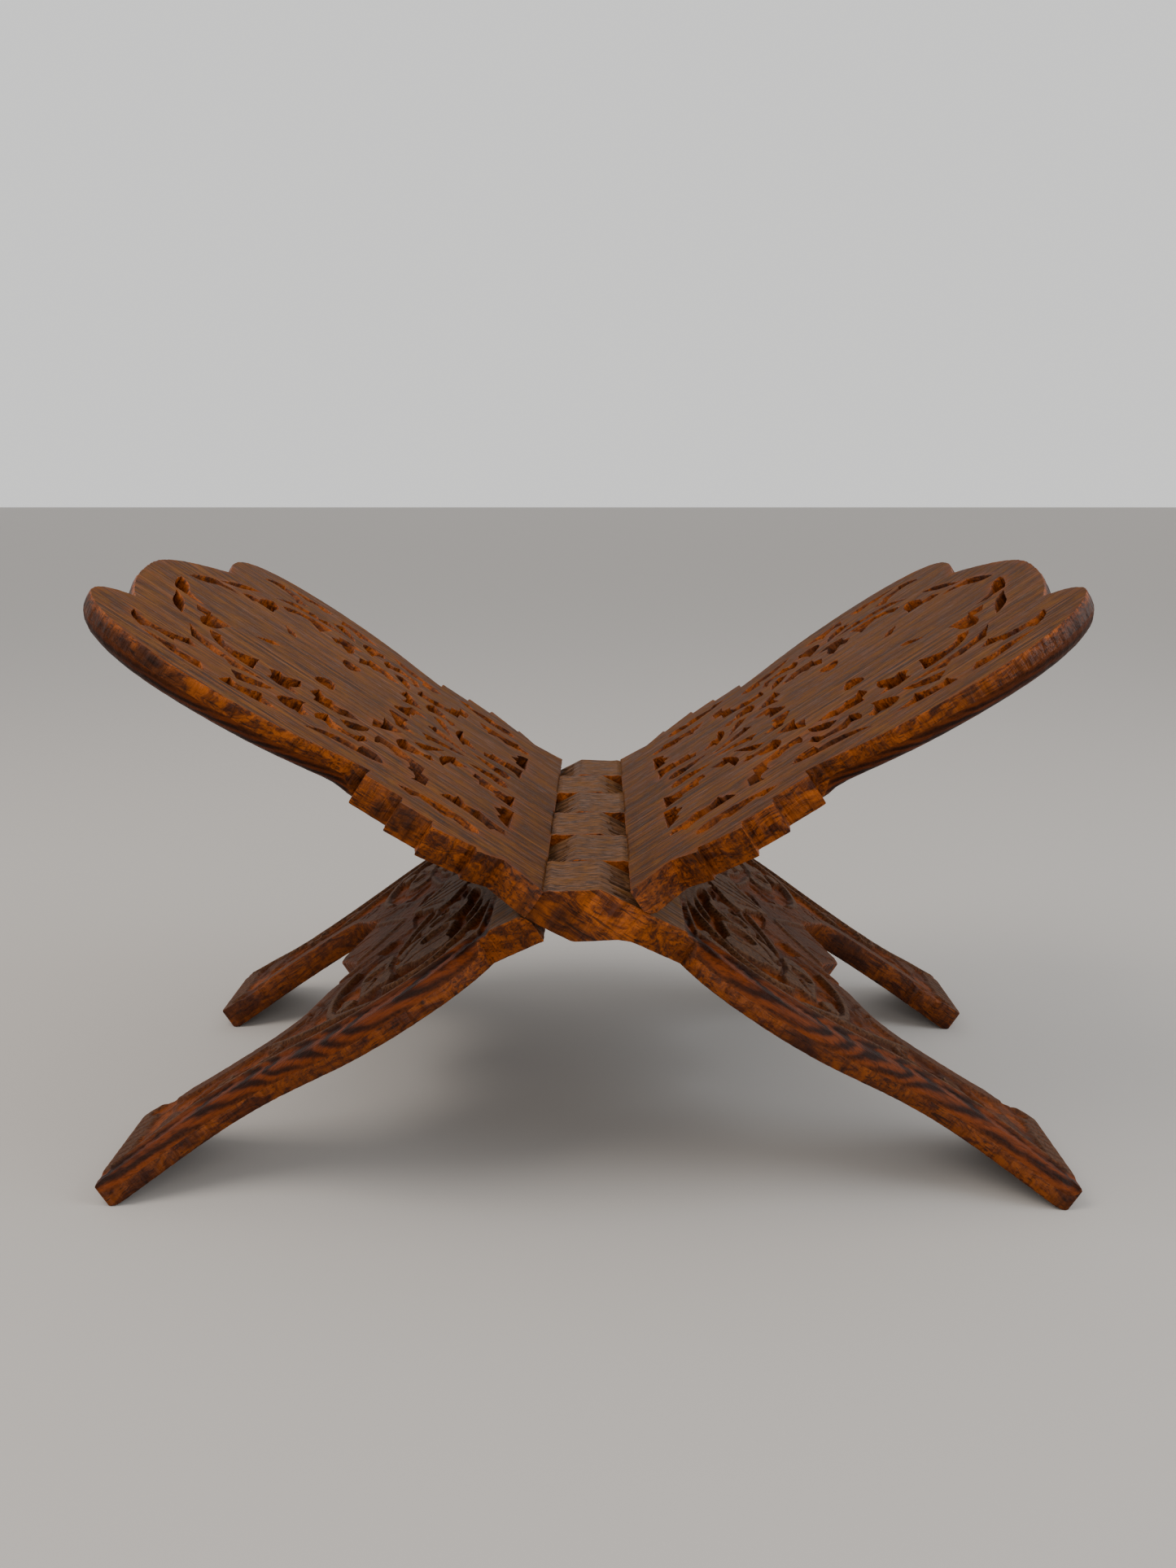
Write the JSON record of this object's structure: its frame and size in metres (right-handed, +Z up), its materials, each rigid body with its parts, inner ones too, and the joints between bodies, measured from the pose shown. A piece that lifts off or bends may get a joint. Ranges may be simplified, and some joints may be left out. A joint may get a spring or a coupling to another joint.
{
  "type": "folding book stand",
  "caption": "Folding carved wooden stand that holds an open book in a V, two interlocked pierced leaves on splayed legs.",
  "frame": {"origin": "on the ground plane, under the middle of the hinge, with the stand open at its stop", "axes": "+X across the opened stand towards the right book rest, +Y along the hinge from the front to the back, +Z up"},
  "size_m": [0.29, 0.2096, 0.1831],
  "materials": {
    "wood_left": "dusty sawn inner face, orange-brown sawn edges, dark waxed carving on the outer side",
    "wood_right": "dusty sawn inner face, orange-brown sawn edges, dark waxed carving on the outer side"
  },
  "bodies": {
    "left_leaf": {"left_leaf": "wood_left"},
    "right_leaf": {"right_leaf": "wood_right"}
  },
  "joints": [
    {"name": "fold", "type": "hinge", "parent": "left_leaf", "child": "right_leaf", "pos_m": [0, 0, 0.08998], "axis": [0, -1, 0], "range_deg": [0, 113.4]}
  ]
}
